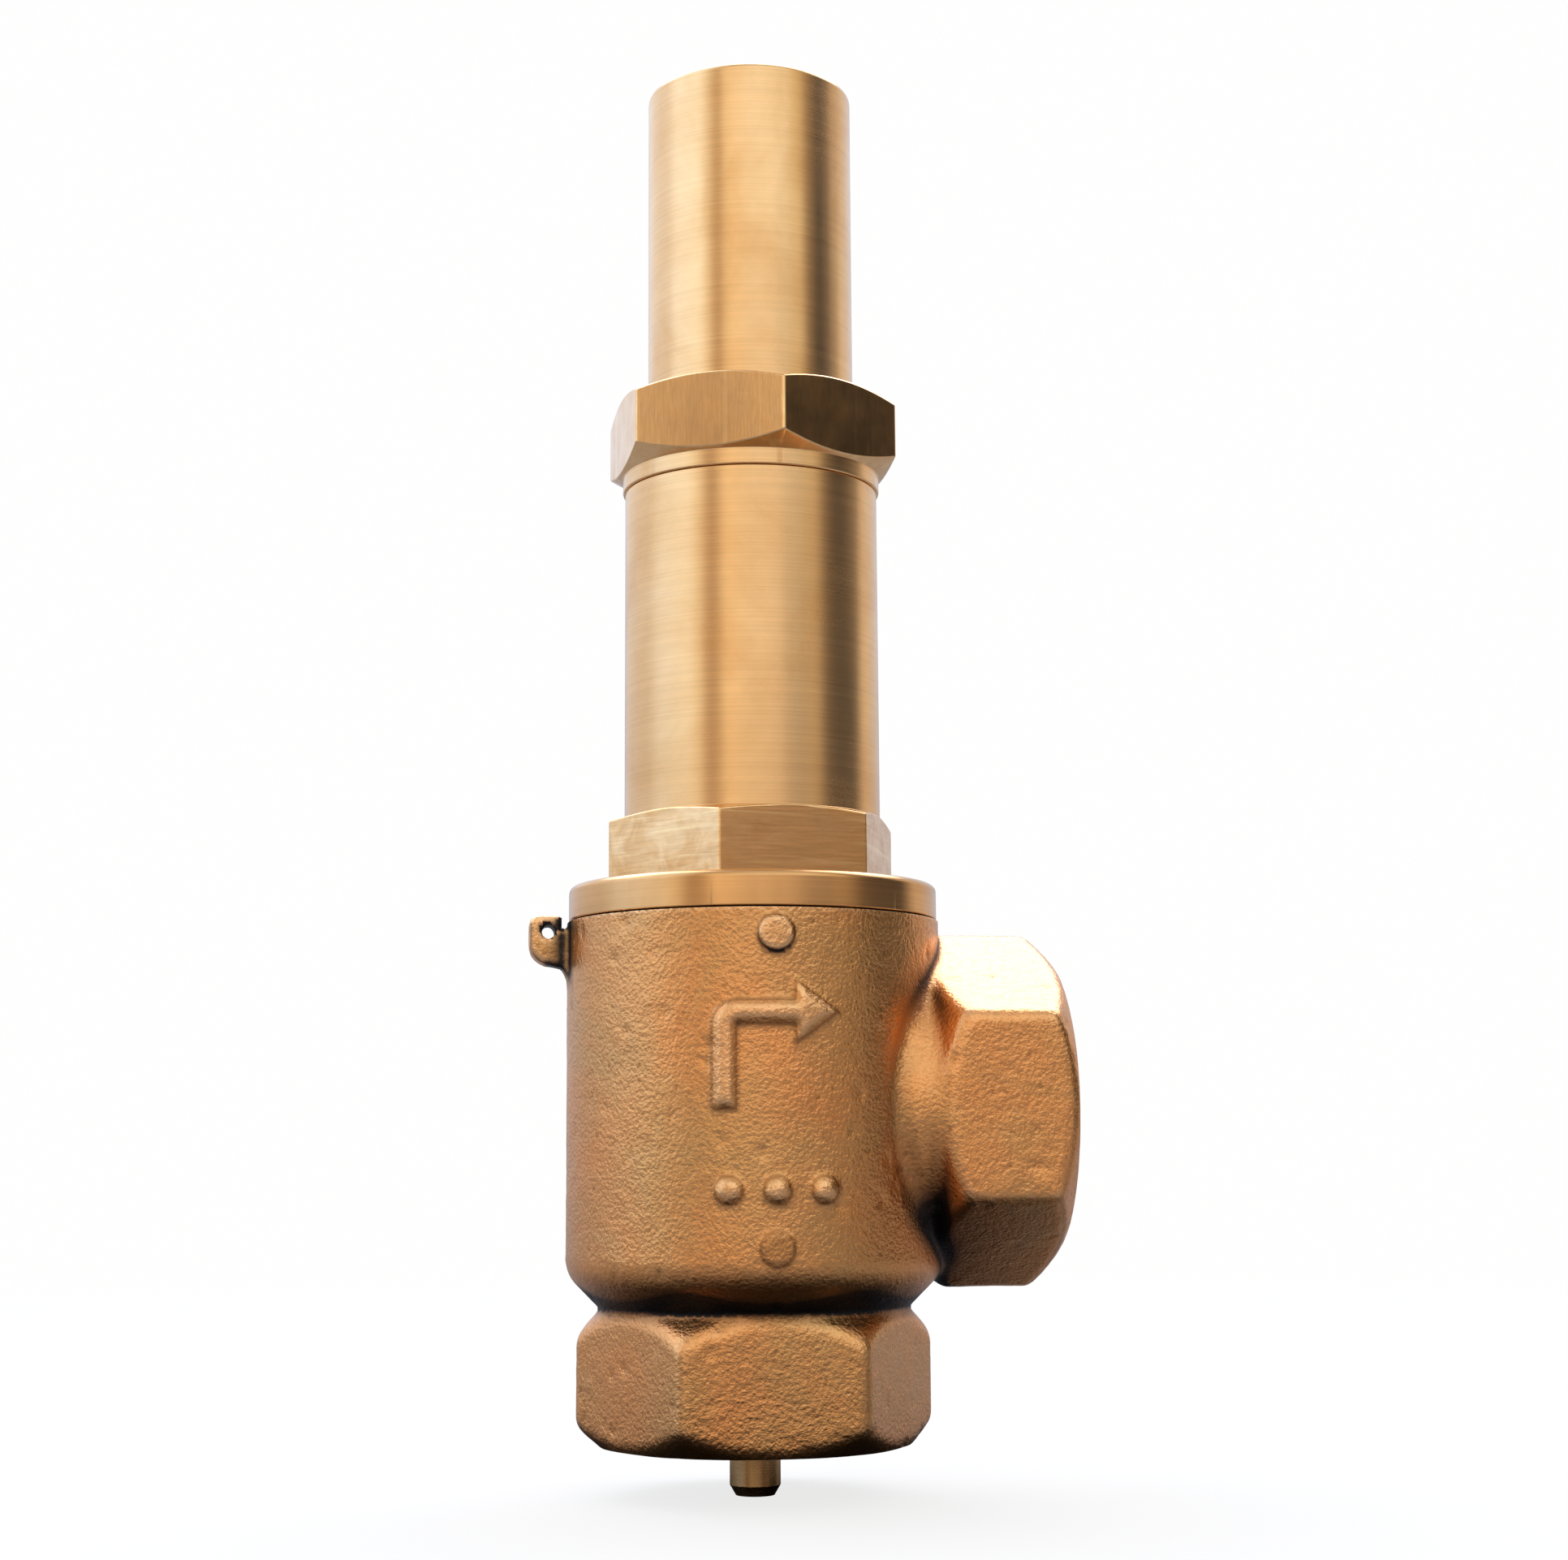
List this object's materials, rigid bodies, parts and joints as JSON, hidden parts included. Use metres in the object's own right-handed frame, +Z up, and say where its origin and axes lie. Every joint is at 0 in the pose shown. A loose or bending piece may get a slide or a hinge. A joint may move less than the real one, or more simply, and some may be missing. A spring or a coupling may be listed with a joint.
{
  "type": "pressure relief valve",
  "caption": "Angle-pattern spring-loaded relief valve: female bottom inlet and side outlet in a cast body, with a turned spring bonnet and a screwed closed cap.",
  "frame": {"origin": "centre of the inlet face, on the spindle axis", "axes": "+Z up the spindle axis towards the cap, +X out of the outlet, the marked side of the body faces -Y"},
  "size_m": [0.0848, 0.0613, 0.232],
  "materials": {
    "cast_bronze": "sand cast skin",
    "turned_brass": "fine turned, satin",
    "bearing_bronze": "bored",
    "stainless": "turned",
    "spring_steel": "drawn wire",
    "rubber": "moulded",
    "gasket_fibre": "matt"
  },
  "bodies": {
    "valve_body": {"body": "cast_bronze", "seat_ring": "stainless", "inlet_guide": "turned_brass", "bonnet": "turned_brass", "bonnet_gasket": "gasket_fibre", "spring": "spring_steel"},
    "disc": {"guide_stem": "turned_brass", "seal_clamp_washer": "turned_brass", "seat_seal": "rubber", "disc_holder": "turned_brass", "pivot_ball": "stainless", "retaining_pin": "stainless", "spindle": "stainless", "lower_spring_plate": "turned_brass"},
    "spring_seat": {"upper_spring_plate": "turned_brass", "thrust_washer": "stainless"},
    "adjuster": {"adjusting_screw": "turned_brass", "guide_bush": "bearing_bronze"},
    "lock_nut": {"lock_nut": "turned_brass"},
    "cap_seal": {"cap_gasket": "gasket_fibre"},
    "cap": {"cap": "turned_brass"}
  },
  "joints": [
    {"name": "valve_lift", "type": "slide", "parent": "valve_body", "child": "disc", "axis": [0, 0, 1], "range_m": [0, 0.007], "stiffness_N_per_m": 400, "deforming": ["spring"]},
    {"name": "adjuster_travel", "type": "slide", "parent": "valve_body", "child": "spring_seat", "axis": [0, 0, 1], "range_m": [-0.01, 0.004], "deforming": ["spring"]},
    {"name": "adjuster_turn", "type": "hinge", "parent": "spring_seat", "child": "adjuster", "pos_m": [0, 0, 0.17], "axis": [0, 0, 1], "range_deg": [-1800, 720]},
    {"name": "lock_nut_turn", "type": "hinge", "parent": "valve_body", "child": "lock_nut", "pos_m": [0, 0, 0.1715], "axis": [0, 0, 1], "range_deg": [0, 90]},
    {"name": "cap_rise", "type": "slide", "parent": "valve_body", "child": "cap_seal", "axis": [0, 0, 1], "range_m": [0, 0.0105]},
    {"name": "cap_turn", "type": "hinge", "parent": "cap_seal", "child": "cap", "pos_m": [0, 0, 0.165], "axis": [0, 0, 1], "range_deg": [0, 2520]}
  ],
  "couplings": [
    {"joint": "adjuster_turn", "follows": "adjuster_travel", "rad_per_m": 3141.6},
    {"joint": "cap_rise", "follows": "cap_turn", "m_per_rad": 0.00023873}
  ]
}
